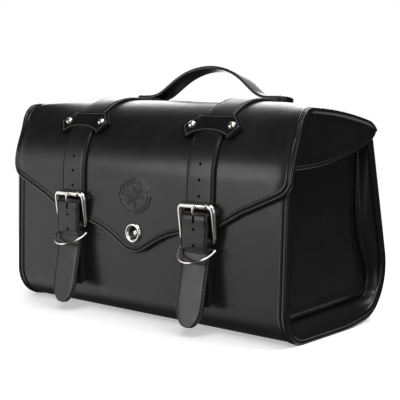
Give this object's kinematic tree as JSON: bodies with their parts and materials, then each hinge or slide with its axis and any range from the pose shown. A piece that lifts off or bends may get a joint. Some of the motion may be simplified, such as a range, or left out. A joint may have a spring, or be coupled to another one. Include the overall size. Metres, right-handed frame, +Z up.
{
  "type": "motorcycle saddlebag",
  "caption": "Stiff black leather saddlebag with a domed hinged lid, shaped flap, buckled straps with hidden quick releases, a carry handle and a centre lock.",
  "frame": {"origin": "middle of the flat underside, half way along the bag and half way between its front face and its rearmost point", "axes": "+X along the bag to its right end, +Y from the front to the back, +Z up"},
  "size_m": [0.41, 0.2374, 0.2906],
  "materials": {
    "shell_leather": "polished smooth black, semi-gloss",
    "end_leather": "smooth black, satin",
    "binding_leather": "smooth black edge binding, glossy",
    "strap_leather": "smooth black strap leather, semi-gloss",
    "stiffener": "pressed fibreboard, matte",
    "nickel": "polished nickel plate",
    "release_plastic": "moulded black, satin"
  },
  "bodies": {
    "body": {"body_wrap": "shell_leather", "back_panel": "shell_leather", "front_board": "stiffener", "base_board": "stiffener", "back_board": "stiffener", "end_panel_left": "end_leather", "end_panel_right": "end_leather", "gusset_left": "end_leather", "gusset_right": "end_leather", "body_binding_left": "binding_leather", "body_binding_right": "binding_leather", "hinge_strip": "shell_leather", "mounting_eyelets": "nickel", "lock_base": "nickel", "release_stud_left": "nickel", "release_stud_right": "nickel"},
    "lock_plug": {"lock_plug": "nickel"},
    "lid": {"lid_shell": "shell_leather", "lid_board": "stiffener", "end_cap_left": "end_leather", "end_cap_right": "end_leather", "lid_binding_left": "binding_leather", "lid_binding_right": "binding_leather", "flap_binding": "binding_leather", "cap_binding_left": "binding_leather", "cap_binding_right": "binding_leather", "lock_eyelet": "nickel", "lock_washer": "nickel", "strap_upper_left": "strap_leather", "strap_upper_right": "strap_leather", "keeper_left": "strap_leather", "keeper_right": "strap_leather", "keeper_filler_left": "strap_leather", "keeper_filler_right": "strap_leather", "keeper_rivets_left": "nickel", "keeper_rivets_right": "nickel", "handle_strap": "strap_leather", "handle_pads": "strap_leather", "handle_rivets": "nickel"},
    "strap_left": {"billet_left": "strap_leather", "chape_left": "strap_leather", "release_socket_left": "release_plastic"},
    "buckle_left": {"buckle_frame_left": "nickel", "buckle_prong_left": "nickel"},
    "roller_left": {"buckle_roller_left": "nickel"},
    "ring_left": {"strap_ring_left": "nickel"},
    "strap_right": {"billet_right": "strap_leather", "chape_right": "strap_leather", "release_socket_right": "release_plastic"},
    "buckle_right": {"buckle_frame_right": "nickel", "buckle_prong_right": "nickel"},
    "roller_right": {"buckle_roller_right": "nickel"},
    "ring_right": {"strap_ring_right": "nickel"}
  },
  "joints": [
    {"name": "lid_hinge", "type": "hinge", "parent": "body", "child": "lid", "pos_m": [0, 0.0635, 0.2105], "axis": [-1, 0, 0], "range_deg": [0, 110]},
    {"name": "lock_turn", "type": "hinge", "parent": "body", "child": "lock_plug", "pos_m": [0, -0.1045, 0.099], "axis": [0, -1, 0], "range_deg": [0, 90]},
    {"name": "strap_left_flex", "type": "hinge", "parent": "lid", "child": "strap_left", "pos_m": [-0.0945, -0.10066, 0.20692], "axis": [-1, 0, 0], "range_deg": [0, 70]},
    {"name": "buckle_left_tilt", "type": "hinge", "parent": "strap_left", "child": "buckle_left", "pos_m": [-0.0945, -0.113, 0.1005], "axis": [-1, 0, 0], "range_deg": [-6, 0.6]},
    {"name": "roller_left_spin", "type": "hinge", "parent": "buckle_left", "child": "roller_left", "pos_m": [-0.0945, -0.1177, 0.137], "axis": [1, 0, 0], "continuous": true},
    {"name": "ring_left_swing", "type": "hinge", "parent": "strap_left", "child": "ring_left", "pos_m": [-0.0945, -0.1125, 0.092], "axis": [-1, 0, 0], "range_deg": [-7, 48]},
    {"name": "strap_right_flex", "type": "hinge", "parent": "lid", "child": "strap_right", "pos_m": [0.0945, -0.10066, 0.20692], "axis": [-1, 0, 0], "range_deg": [0, 70]},
    {"name": "buckle_right_tilt", "type": "hinge", "parent": "strap_right", "child": "buckle_right", "pos_m": [0.0945, -0.113, 0.1005], "axis": [-1, 0, 0], "range_deg": [-6, 0.6]},
    {"name": "roller_right_spin", "type": "hinge", "parent": "buckle_right", "child": "roller_right", "pos_m": [0.0945, -0.1177, 0.137], "axis": [1, 0, 0], "continuous": true},
    {"name": "ring_right_swing", "type": "hinge", "parent": "strap_right", "child": "ring_right", "pos_m": [0.0945, -0.1125, 0.092], "axis": [-1, 0, 0], "range_deg": [-7, 48]}
  ]
}
